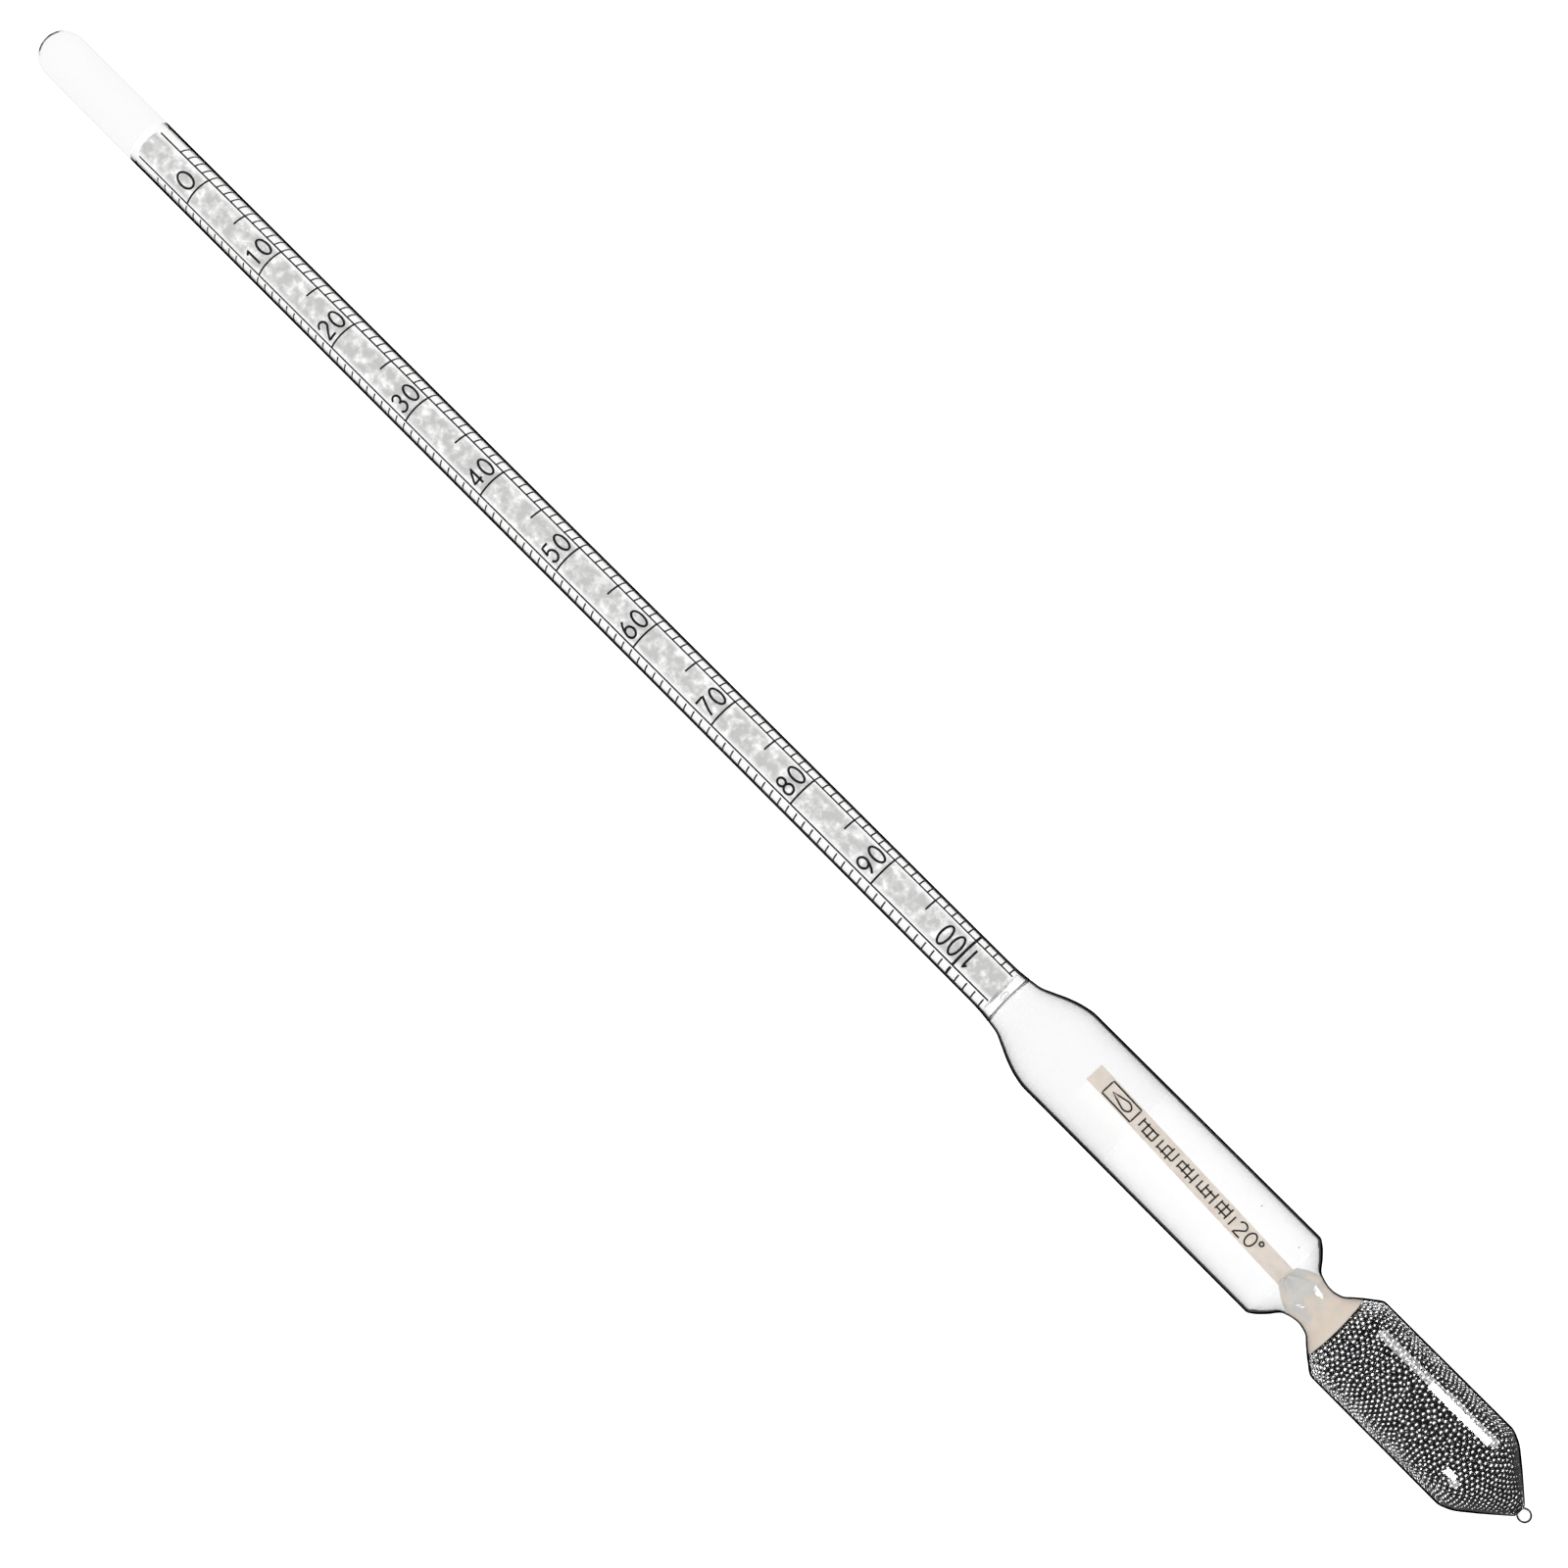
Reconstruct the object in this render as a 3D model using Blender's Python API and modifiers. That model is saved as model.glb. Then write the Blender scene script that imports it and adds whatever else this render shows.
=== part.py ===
"""Glass hydrometer: a stem with a paper scale, a float bulb and a ballast bulb full of shot.

Heights are measured from the tip of the instrument, in metres, and the whole model hangs
under one empty that puts the row's origin on the axis at the scale's 0 line, the level of
plain water. +Z points along the stem to its closed top.
"""

import math

import bmesh
import bpy

MM = 0.001

# Driving dimensions
OVERALL_LENGTH = 280.0 * MM
ZERO_LINE_HEIGHT = 246.8 * MM
STEM_RADIUS = 3.6 * MM
STEM_WALL = 0.3 * MM
STEM_DOME_HEIGHT = 3.8 * MM
STEM_DOME_WALL = 0.7 * MM
BULB_RADIUS = 6.65 * MM
BULB_WALL = 0.35 * MM
SEAM_HEIGHT = 90.2 * MM
SEAM_RADIUS = 3.84 * MM
WAIST_HEIGHT = 36.3 * MM
WAIST_RADIUS = 2.98 * MM
SEAM_GAP = 0.3 * MM
FIT_GAP = 0.1 * MM

FLOAT_TOP = 81.0 * MM
FLOAT_BOTTOM = 41.8 * MM
BALLAST_TOP = 30.4 * MM
BALLAST_BOTTOM = 9.4 * MM
CONE_END_HEIGHT = 1.75 * MM
CONE_END_RADIUS = 1.0 * MM
CONE_WALL = 0.35 * MM

BEAD_RADIUS = 0.95 * MM
BEAD_TOP = 1.45 * MM

PAPER_BOTTOM = 91.8 * MM
PAPER_TOP = 257.2 * MM
PAPER_RADIUS = 3.24 * MM
PAPER_THICKNESS = 0.12 * MM
PAPER_SLIT_WIDTH = math.radians(4)
PAPER_SLIT_PLACE = math.radians(36.5)

GLUE_SIZE = (1.5 * MM, 0.5 * MM, 0.9 * MM)
GLUE_GAP = 0.2 * MM

STRIP_WIDTH = 2.7 * MM
STRIP_THICKNESS = 0.2 * MM
STRIP_TOP = 76.2 * MM
STRIP_BOTTOM = 37.9 * MM
STRIP_FOOT_OFFSET = -0.15 * MM
STRIP_LEAN = math.radians(2.1)
STRIP_SLOT_GAP = 0.15 * MM

PLUG_BOTTOM = 32.7 * MM
PLUG_TOP = 39.9 * MM
SHOT_BOTTOM = 4.2 * MM
SHOT_TOP = 32.3 * MM

ROUND_SEGMENTS = 24
CURVE_STEPS = 2
DOME_STEPS = 6
BEAD_STEPS = 7
MERGE = 0.000001

# (radius, height) points of the rounded stretches, from the top down
STEM_FLARE = [
    (STEM_RADIUS, 94.4 * MM),
    (3.64 * MM, 92.4 * MM),
    (SEAM_RADIUS, SEAM_HEIGHT + SEAM_GAP / 2),
]
FLOAT_SHOULDER = [
    (SEAM_RADIUS, SEAM_HEIGHT - SEAM_GAP / 2),
    (4.06 * MM, 88.7 * MM),
    (4.8 * MM, 86.9 * MM),
    (5.66 * MM, 85.0 * MM),
    (6.35 * MM, 82.9 * MM),
    (BULB_RADIUS, FLOAT_TOP),
]
FLOAT_FOOT = [
    (BULB_RADIUS, FLOAT_BOTTOM),
    (6.1 * MM, 40.85 * MM),
    (4.95 * MM, 39.7 * MM),
    (3.5 * MM, 38.45 * MM),
    (WAIST_RADIUS, WAIST_HEIGHT + SEAM_GAP / 2),
]
BALLAST_SHOULDER = [
    (WAIST_RADIUS, WAIST_HEIGHT - SEAM_GAP / 2),
    (3.3 * MM, 34.85 * MM),
    (4.4 * MM, 33.55 * MM),
    (5.6 * MM, 32.1 * MM),
    (BULB_RADIUS, BALLAST_TOP),
]
BALLAST_CONE = [
    (BULB_RADIUS, BALLAST_BOTTOM),
    (6.1 * MM, 7.8 * MM),
    (4.52 * MM, 5.7 * MM),
    (2.77 * MM, 3.7 * MM),
    (CONE_END_RADIUS, CONE_END_HEIGHT),
]


def clear_scene():
    for obj in list(bpy.data.objects):
        bpy.data.objects.remove(obj, do_unlink=True)


def new_collection(name):
    collection = bpy.data.collections.new(name)
    bpy.context.scene.collection.children.link(collection)
    return collection


def material(name, color, roughness, transmission=0.0, metallic=0.0, ior=1.45):
    """A Principled material with one colour."""
    mat = bpy.data.materials.new(name)
    mat.use_nodes = True
    shader = mat.node_tree.nodes["Principled BSDF"]
    shader.inputs["Base Color"].default_value = (*color, 1.0)
    shader.inputs["Roughness"].default_value = roughness
    shader.inputs["Metallic"].default_value = metallic
    shader.inputs["Transmission Weight"].default_value = transmission
    shader.inputs["IOR"].default_value = ior
    return mat


def clear_glass():
    return material("clear_glass", (0.97, 0.98, 0.98), 0.02, transmission=1.0, ior=1.5)


def scale_paper_stock():
    return material("scale_paper", (0.86, 0.86, 0.84), 0.8)


def label_paper_stock():
    return material("label_paper", (0.74, 0.68, 0.56), 0.75)


def clear_glue():
    return material("clear_glue", (0.9, 0.88, 0.8), 0.25, transmission=0.8)


def plug_resin():
    return material("plug_resin", (0.66, 0.62, 0.55), 0.5, transmission=0.3)


def shot_metal():
    return material("shot_metal", (0.12, 0.12, 0.13), 0.3, metallic=1.0)


def curve_through(points, steps=CURVE_STEPS):
    """Points of a Catmull-Rom curve through hand-placed (radius, height) points."""
    padded = [points[0], *points, points[-1]]
    curve = []
    for i in range(len(points) - 1):
        before, start, end, after = padded[i:i + 4]
        for step in range(steps):
            t = step / steps
            curve.append(tuple(
                0.5 * (2 * b + (c - a) * t + (2 * a - 5 * b + 4 * c - d) * t ** 2
                       + (3 * b - a - 3 * c + d) * t ** 3)
                for a, b, c, d in zip(before, start, end, after)))
    return [*curve, points[-1]]


def quarter_dome(radius, base_height, rise, steps=DOME_STEPS):
    """A quarter ellipse from its apex on the axis down to its base."""
    angles = [math.pi / 2 * i / steps for i in range(steps + 1)]
    return [(radius * math.sin(a), base_height + rise * math.cos(a)) for a in angles]


def inset(outline, depth_at):
    """The outline moved inwards, square to itself, by depth_at(height)."""
    moved = []
    for i, (radius, height) in enumerate(outline):
        r0, h0 = outline[max(i - 1, 0)]
        r1, h1 = outline[min(i + 1, len(outline) - 1)]
        length = math.hypot(r1 - r0, h1 - h0)
        depth = depth_at(height)
        moved.append((radius - (h0 - h1) / length * depth, height - (r1 - r0) / length * depth))
    return moved


def clipped(outline, top, bottom):
    """The part of a falling outline between two heights, with points added at both."""
    def radius_at(height):
        for (r0, h0), (r1, h1) in zip(outline, outline[1:]):
            if h1 <= height <= h0:
                return r0 + (r1 - r0) * (h0 - height) / max(h0 - h1, MERGE)
        return outline[-1][0]

    inside = [p for p in outline if bottom + FIT_GAP < p[1] < top - FIT_GAP]
    return [(radius_at(top), top), *inside, (radius_at(bottom), bottom)]


def turned(name, outline, mat, collection, parent, closed):
    """A solid of revolution: the outline runs down the outer side and up the inner one."""
    mesh = bpy.data.meshes.new(name)
    edges = [(i, i + 1) for i in range(len(outline) - 1)]
    if closed:
        edges.append((len(outline) - 1, 0))
    mesh.from_pydata([(radius, 0.0, height) for radius, height in outline], edges, [])
    obj = add_object(name, mesh, mat, collection, parent)
    screw = obj.modifiers.new("turn", "SCREW")
    screw.axis = "Z"
    screw.angle = math.tau
    screw.steps = ROUND_SEGMENTS
    screw.render_steps = ROUND_SEGMENTS
    screw.use_merge_vertices = True
    screw.merge_threshold = MERGE
    screw.use_smooth_shade = True
    return obj


def add_object(name, mesh, mat, collection, parent):
    obj = bpy.data.objects.new(name, mesh)
    mesh.materials.append(mat)
    collection.objects.link(obj)
    obj.parent = parent
    return obj


def box(name, size, mat, collection, parent):
    mesh = bpy.data.meshes.new(name)
    bm = bmesh.new()
    bmesh.ops.create_cube(bm, size=1.0)
    bmesh.ops.scale(bm, vec=size, verts=bm.verts)
    bm.to_mesh(mesh)
    bm.free()
    return add_object(name, mesh, mat, collection, parent)


def bulb_wall(height):
    """Wall thickness of the bulbs, thinner towards the drawn cone."""
    if height >= BALLAST_BOTTOM:
        return BULB_WALL
    share = (BALLAST_BOTTOM - height) / (BALLAST_BOTTOM - CONE_END_HEIGHT)
    return BULB_WALL + (CONE_WALL - BULB_WALL) * share


def bulb_fill(height):
    return bulb_wall(height) + FIT_GAP


def float_outline():
    return [*curve_through(FLOAT_SHOULDER), *curve_through(FLOAT_FOOT)]


def ballast_outline():
    return [*curve_through(BALLAST_SHOULDER), *curve_through(BALLAST_CONE)]


def make_stem_tube(mat, collection, parent):
    dome_base = OVERALL_LENGTH - STEM_DOME_HEIGHT
    inner_radius = STEM_RADIUS - STEM_WALL
    inner_rise = STEM_DOME_HEIGHT - STEM_DOME_WALL
    flare = curve_through(STEM_FLARE)
    outside = [*quarter_dome(STEM_RADIUS, dome_base, STEM_DOME_HEIGHT), *flare]
    inside = [*quarter_dome(inner_radius, dome_base, inner_rise),
              *[(radius - STEM_WALL, height) for radius, height in flare]]
    turned("stem_tube", [*outside, *reversed(inside)], mat, collection, parent, closed=False)


def bulb_shell(outside):
    """Both walls of a bulb that is open, and cut square, at its two ends."""
    inside = inset(outside, bulb_wall)
    for end in (0, -1):
        inside[end] = (inside[end][0], outside[end][1])
    return [*outside, *reversed(inside)]


def make_float_bulb(mat, collection, parent):
    turned("float_bulb", bulb_shell(float_outline()), mat, collection, parent, closed=True)


def make_ballast_bulb(mat, collection, parent):
    turned("ballast_bulb", bulb_shell(ballast_outline()), mat, collection, parent, closed=True)


def make_tip_bead(mat, collection, parent):
    """The fused ball that closes the point, flat where it meets the cone."""
    start = math.acos((BEAD_TOP - BEAD_RADIUS) / BEAD_RADIUS)
    angles = [start + (math.pi - start) * i / BEAD_STEPS for i in range(BEAD_STEPS + 1)]
    ball = [(BEAD_RADIUS * math.sin(a), BEAD_RADIUS + BEAD_RADIUS * math.cos(a)) for a in angles]
    ball[-1] = (0.0, 0.0)
    turned("tip_bead", [(0.0, BEAD_TOP), *ball], mat, collection, parent, closed=False)


def make_scale_paper(mat, collection, parent):
    """The rolled scale: an open sheet, with the slit between its edges in a blank stripe."""
    mesh = bpy.data.meshes.new("scale_paper")
    mesh.from_pydata([(PAPER_RADIUS, 0.0, PAPER_TOP), (PAPER_RADIUS, 0.0, PAPER_BOTTOM)],
                     [(0, 1)], [])
    obj = add_object("scale_paper", mesh, mat, collection, parent)
    obj.rotation_euler.z = PAPER_SLIT_PLACE + PAPER_SLIT_WIDTH / 2
    screw = obj.modifiers.new("roll", "SCREW")
    screw.axis = "Z"
    screw.angle = math.tau - PAPER_SLIT_WIDTH
    screw.steps = ROUND_SEGMENTS
    screw.render_steps = ROUND_SEGMENTS
    screw.use_merge_vertices = False
    screw.use_smooth_shade = True
    solidify = obj.modifiers.new("thickness", "SOLIDIFY")
    solidify.thickness = PAPER_THICKNESS
    solidify.offset = -1.0


def make_scale_glue(mat, collection, parent):
    """A flattened dab on the glass at the back, just under the paper's lower edge."""
    width, depth, rise = GLUE_SIZE
    mesh = bpy.data.meshes.new("scale_glue")
    bm = bmesh.new()
    bmesh.ops.create_uvsphere(bm, u_segments=12, v_segments=8, radius=0.5)
    bmesh.ops.scale(bm, vec=GLUE_SIZE, verts=bm.verts)
    bm.to_mesh(mesh)
    bm.free()
    mesh.shade_smooth()
    obj = add_object("scale_glue", mesh, mat, collection, parent)
    wall = STEM_RADIUS - STEM_WALL
    sagitta = wall - math.sqrt(wall ** 2 - (width / 2) ** 2)
    obj.location = (0.0, wall - depth / 2 - sagitta, PAPER_BOTTOM - GLUE_GAP - rise / 2)


def lean_strip(obj):
    """Stand a strip-shaped object on the plug, leaning towards +X."""
    half = (STRIP_TOP - STRIP_BOTTOM) / 2
    obj.rotation_euler.y = STRIP_LEAN
    obj.location = (STRIP_FOOT_OFFSET + half * math.sin(STRIP_LEAN), 0.0,
                    STRIP_BOTTOM + half * math.cos(STRIP_LEAN))


def make_label_strip(mat, collection, parent):
    size = (STRIP_WIDTH, STRIP_THICKNESS, STRIP_TOP - STRIP_BOTTOM)
    lean_strip(box("label_strip", size, mat, collection, parent))


def make_neck_plug(mat, collection, cutters, parent):
    """The plug that keeps the shot down, with the slot that holds the strip's foot."""
    fill = inset([*float_outline(), *ballast_outline()], bulb_fill)
    side = clipped(fill, PLUG_TOP, PLUG_BOTTOM)
    plug = turned("neck_plug", [(0.0, PLUG_TOP), *side, (0.0, PLUG_BOTTOM)], mat, collection,
                  parent, closed=False)
    size = (STRIP_WIDTH + 2 * STRIP_SLOT_GAP, STRIP_THICKNESS + 2 * STRIP_SLOT_GAP,
            STRIP_TOP - STRIP_BOTTOM + 2 * STRIP_SLOT_GAP)
    slot = box("plug_slot_cutter", size, mat, cutters, parent)
    lean_strip(slot)
    slot.hide_render = True
    slot.display_type = "WIRE"
    cut = plug.modifiers.new("slot", "BOOLEAN")
    cut.operation = "DIFFERENCE"
    cut.solver = "EXACT"
    cut.object = slot


def make_shot_bed(mat, collection, parent):
    """The packed shot as one solid, just inside the glass."""
    fill = inset(ballast_outline(), bulb_fill)
    side = clipped(fill, SHOT_TOP, SHOT_BOTTOM)
    turned("shot_bed", [(0.0, SHOT_TOP), *side, (0.0, SHOT_BOTTOM)], mat, collection, parent,
           closed=False)


def main():
    clear_scene()
    parts = new_collection("hydrometer")
    cutters = new_collection("hydrometer_cutters")
    origin = bpy.data.objects.new("zero_line_origin", None)
    origin.location.z = -ZERO_LINE_HEIGHT
    parts.objects.link(origin)

    glass = clear_glass()
    make_stem_tube(glass, parts, origin)
    make_float_bulb(glass, parts, origin)
    make_ballast_bulb(glass, parts, origin)
    make_tip_bead(glass, parts, origin)
    make_scale_paper(scale_paper_stock(), parts, origin)
    make_scale_glue(clear_glue(), parts, origin)
    make_label_strip(label_paper_stock(), parts, origin)
    make_neck_plug(plug_resin(), parts, cutters, origin)
    make_shot_bed(shot_metal(), parts, origin)


main()
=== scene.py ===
"""The looks of the glass hydrometer: clear glass, a ruled paper scale, a label strip, a waxy
plug and a bulb full of dark metal shot, lit from all round in a white studio.

Heights are measured from the tip of the instrument and given in millimetres, as in the CAD;
the frame's origin is on the axis at the 0 line. Angles round the axis are degrees from the
reader's side (-Y) towards +X.
"""

import math
import random

import bmesh
import bpy
import numpy as np
from mathutils import Matrix, Vector


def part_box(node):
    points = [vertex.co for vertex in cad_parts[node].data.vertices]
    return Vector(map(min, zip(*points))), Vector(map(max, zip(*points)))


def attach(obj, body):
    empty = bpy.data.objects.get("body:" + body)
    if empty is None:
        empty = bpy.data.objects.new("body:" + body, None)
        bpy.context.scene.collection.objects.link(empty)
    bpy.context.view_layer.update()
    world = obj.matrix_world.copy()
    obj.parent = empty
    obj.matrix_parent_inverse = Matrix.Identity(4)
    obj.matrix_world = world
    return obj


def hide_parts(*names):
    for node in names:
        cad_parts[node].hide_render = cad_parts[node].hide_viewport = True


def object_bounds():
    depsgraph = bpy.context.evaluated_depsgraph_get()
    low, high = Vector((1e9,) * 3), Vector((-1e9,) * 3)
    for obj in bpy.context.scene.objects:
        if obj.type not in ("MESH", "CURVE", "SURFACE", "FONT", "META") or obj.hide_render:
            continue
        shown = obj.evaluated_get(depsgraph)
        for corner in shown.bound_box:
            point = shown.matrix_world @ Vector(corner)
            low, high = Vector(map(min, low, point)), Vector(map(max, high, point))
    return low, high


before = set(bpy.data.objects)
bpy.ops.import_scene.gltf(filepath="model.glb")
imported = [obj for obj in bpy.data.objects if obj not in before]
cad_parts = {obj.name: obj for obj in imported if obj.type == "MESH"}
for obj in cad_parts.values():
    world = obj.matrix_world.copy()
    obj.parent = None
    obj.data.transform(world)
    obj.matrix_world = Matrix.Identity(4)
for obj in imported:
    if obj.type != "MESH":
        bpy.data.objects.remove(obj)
cad_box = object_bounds()

MM = 0.001
TIP_Z = cad_box[0].z
OVERALL = (cad_box[1].z - cad_box[0].z) / MM

# The glass
STEM_RADIUS = 3.6
STEM_WALL = 0.22
DOME_RISE = 3.8
DOME_WALL = 0.35
BULB_WALL = 0.2
SEAM_HEIGHT = 90.2
SEAM_RADIUS = 3.84
SEAM_GAP = 0.06
WAIST_HEIGHT = 36.3
WAIST_RADIUS = 2.98
BULB_RADIUS = cad_box[1].x / MM
CONE_END = (1.0, 1.75)
BEAD_RADIUS = 0.95
CLEAR_FROM = 258.2
SEED_RADIUS = 0.09
SEED_PLACES = [(4.13, 49.8), (3.75, 43.1)]  # x and height
TURN_SEGMENTS = 128
RING_STEP = 0.35

# The scale
PAPER_RADIUS = 3.24
PAPER_THICKNESS = 0.12
PAPER_BOTTOM = 91.8
PAPER_TOP = 257.2
SLIT_ANGLE = 126.5
SLIT_WIDTH = 4.0
ZERO_LINE = -TIP_Z / MM
UNIT = 1.484
COLUMNS = (0.0, 180.0)
COLUMN_HALF = 41.5
HALF_MARK_SPAN = 35.0
FIELD_SOLID = 26.0
FIELD_END = 38.0
FIRST_RUNG, LAST_RUNG = -4, 104
LADDER_ENDS = (123.0, 132.0)
TWIST_CENTRE_HEIGHT = 184.0
TWIST_PER_MM = 0.068
INK_LIFT = 0.012
INK_SINK = 0.03
LONG_LINE = 0.26
RUNG_LINE = 0.22
MAJOR_LINE = 0.27
HUNDRED_LINE = 0.38
DIGIT_STROKE = 0.33
STRIP_STROKE = 0.22
LONGEST_STROKE = 0.3
DIGIT_HEIGHT = 2.65
DIGIT_WIDTH = 1.55
DIGIT_PITCH = 2.05
DIGIT_LIFT = 0.75
ZERO_LIFT = 0.7
HUNDRED_ASIDE = 0.12
HUNDRED_HEIGHT = 2.9

# The label strip
STRIP_WIDTH = 2.7
STRIP_THICKNESS = 0.2
STRIP_TOP = 76.2
STRIP_BOTTOM = 37.9
STRIP_FOOT = -0.15
STRIP_LEAN = 2.1

# The plug and the shot
PLUG_PEAK = 40.9
PLUG_RIM = 38.3
PLUG_CLOUDY_FROM = 36.8
PLUG_CLOUD_GAIN = 0.065
PLUG_BOTTOM = 32.7
SHOT_TOP = 32.5
PELLET_RADIUS = 0.365
SHOT_BOTTOM = 2.2
SHOT_COVER = 0.84
INNER_COVER = SHOT_COVER * 0.95
PUSH_ROUNDS = 160
NEIGHBOURS = 240
LAYER_DEPTH = 0.55
CORE_DEPTH = 1.15
CORE_TOP = SHOT_TOP - 0.7
CORE_BOTTOM = 4.6

# The studio, in metres
FLOOR_RADIUS = 30.0
FLOOR_DROP = 0.0004

# The camera, in millimetres and degrees
VIEW_HEIGHT = 131.0
VIEW_ASIDE = -0.77
VIEW_DISTANCE = 364.0
VIEW_TILT = 9.9
VIEW_LENS = 63.7
VIEW_SENSOR = 36.0

STEM_FLARE = [(STEM_RADIUS, 96.0), (STEM_RADIUS, 94.4), (3.64, 92.4), (SEAM_RADIUS, SEAM_HEIGHT)]
FLOAT_OUTLINE = [
    (SEAM_RADIUS, SEAM_HEIGHT), (4.06, 88.7), (4.8, 86.9), (5.66, 85.0), (6.35, 82.9),
    (BULB_RADIUS, 81.0), (BULB_RADIUS, 41.8), (6.1, 40.85), (4.95, 39.7), (3.5, 38.45),
    (WAIST_RADIUS, WAIST_HEIGHT)]
BALLAST_OUTLINE = [
    (3.3, 34.85), (4.4, 33.55), (5.6, 32.1), (BULB_RADIUS, 30.4), (BULB_RADIUS, 9.4),
    (6.1, 7.8), (4.52, 5.7), (2.77, 3.7), CONE_END]


# Outlines -----------------------------------------------------------------------------------

def steady_curve(points, step=RING_STEP):
    """A falling outline through given (radius, height) points that never overshoots."""
    r = np.array([p[0] for p in points][::-1], float)
    h = np.array([p[1] for p in points][::-1], float)
    gap = np.diff(h)
    slope = np.diff(r) / gap
    tangent = np.zeros(len(r))
    for i in range(1, len(r) - 1):
        if slope[i - 1] * slope[i] > 0:
            w0, w1 = 2 * gap[i] + gap[i - 1], gap[i] + 2 * gap[i - 1]
            tangent[i] = (w0 + w1) / (w0 / slope[i - 1] + w1 / slope[i])
    tangent[0], tangent[-1] = slope[0], slope[-1]
    out = []
    for i in range(len(gap)):
        steps = max(1, math.ceil(gap[i] / step)) if abs(slope[i]) > 1e-9 else 12
        for k in range(steps):
            t = k / steps
            out.append((
                (1 + 2 * t) * (1 - t) ** 2 * r[i] + t * (1 - t) ** 2 * gap[i] * tangent[i]
                + t * t * (3 - 2 * t) * r[i + 1] + t * t * (t - 1) * gap[i] * tangent[i + 1],
                h[i] + t * gap[i]))
    out.append((r[-1], h[-1]))
    return [(float(a), float(b)) for a, b in reversed(out)]


def inset(outline, depth):
    """The outline moved towards the axis, square to itself."""
    moved = []
    for i, (radius, height) in enumerate(outline):
        r0, h0 = outline[max(i - 1, 0)]
        r1, h1 = outline[min(i + 1, len(outline) - 1)]
        length = math.hypot(r1 - r0, h1 - h0)
        moved.append((radius - (h0 - h1) / length * depth, height - (r1 - r0) / length * depth))
    return moved


def dome(radius, base, rise, steps=24, power=2.25):
    """A slightly flattened dome from its apex on the axis down to its base."""
    points = []
    for i in range(steps + 1):
        a = math.pi / 2 * i / steps
        points.append((radius * math.sin(a) ** (2 / power), base + rise * math.cos(a) ** (2 / power)))
    return points


def radius_at(outline, height):
    """The radius of a falling outline at a height."""
    h = [p[1] for p in reversed(outline)]
    r = [p[0] for p in reversed(outline)]
    return float(np.interp(height, h, r))


# Meshes -------------------------------------------------------------------------------------

def add_piece(name, verts, faces, material, smooth=True):
    """A piece from millimetre points, with heights from the tip."""
    mesh = bpy.data.meshes.new(name)
    verts = np.asarray(verts, float) * MM
    verts[:, 2] += TIP_Z
    mesh.from_pydata(verts.tolist(), [], faces)
    mesh.materials.append(material)
    if smooth:
        mesh.shade_smooth()
    obj = bpy.data.objects.new(name, mesh)
    bpy.context.scene.collection.objects.link(obj)
    return obj


def from_bmesh(name, bm, material, smooth=True):
    """An object from a finished bmesh, whose points are already in metres."""
    mesh = bpy.data.meshes.new(name)
    bm.to_mesh(mesh)
    bm.free()
    mesh.materials.append(material)
    if smooth:
        mesh.shade_smooth()
    obj = bpy.data.objects.new(name, mesh)
    bpy.context.scene.collection.objects.link(obj)
    return obj


def turned(name, outline, material, segments=TURN_SEGMENTS, wobble=None):
    """A closed solid of revolution. The outline runs down the outer side and up the inner one."""
    verts, rings = [], []
    for radius, height in outline:
        if radius < 1e-6:
            rings.append([len(verts)])
            verts.append((0.0, 0.0, height))
            continue
        rings.append(list(range(len(verts), len(verts) + segments)))
        for k in range(segments):
            a = math.tau * k / segments
            r, h = (radius, height) if wobble is None else wobble(radius, height, a)
            verts.append((r * math.cos(a), r * math.sin(a), h))
    faces = []
    pairs = list(zip(rings, rings[1:]))
    if len(rings[0]) > 1:
        pairs.append((rings[-1], rings[0]))
    for upper, lower in pairs:
        for k in range(segments):
            n = (k + 1) % segments
            if len(upper) == 1:
                faces.append((upper[0], lower[k], lower[n]))
            elif len(lower) == 1:
                faces.append((upper[k], lower[0], upper[n]))
            else:
                faces.append((upper[k], lower[k], lower[n], upper[n]))
    return add_piece(name, verts, faces, material)


# Materials ----------------------------------------------------------------------------------

def new_material(name):
    """A new material, its node tree and its Principled shader."""
    mat = bpy.data.materials.new(name)
    mat.use_nodes = True
    tree = mat.node_tree
    return mat, tree, tree.nodes["Principled BSDF"]


def node(tree, kind, **values):
    """A new node with its named inputs or properties set."""
    made = tree.nodes.new(kind)
    for key, value in values.items():
        if key in made.inputs:
            made.inputs[key].default_value = value
        else:
            setattr(made, key, value)
    return made


def ramp(tree, stops, source):
    """A colour ramp from (place, colour) stops, fed by a socket."""
    made = tree.nodes.new("ShaderNodeValToRGB")
    elements = made.color_ramp.elements
    while len(elements) < len(stops):
        elements.new(0.5)
    for element, (place, color) in zip(elements, stops):
        element.position = place
        element.color = (*color, 1.0)
    tree.links.new(source, made.inputs["Fac"])
    return made.outputs["Color"]


def feed(tree, value, socket):
    """Sets a socket to a plain value, or links it to another socket."""
    if isinstance(value, (float, tuple)):
        socket.default_value = value
    else:
        tree.links.new(value, socket)


def calculate(tree, operation, *values):
    """The result of a Math node on sockets or numbers."""
    made = node(tree, "ShaderNodeMath", operation=operation)
    for value, socket in zip(values, made.inputs):
        feed(tree, value, socket)
    return made.outputs[0]


def share(tree, value, low, high):
    """0 where the value is low, 1 where it is high, even in between."""
    made = node(tree, "ShaderNodeMapRange")
    made.inputs["From Min"].default_value = low
    made.inputs["From Max"].default_value = high
    tree.links.new(value, made.inputs["Value"])
    return made.outputs["Result"]


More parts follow.
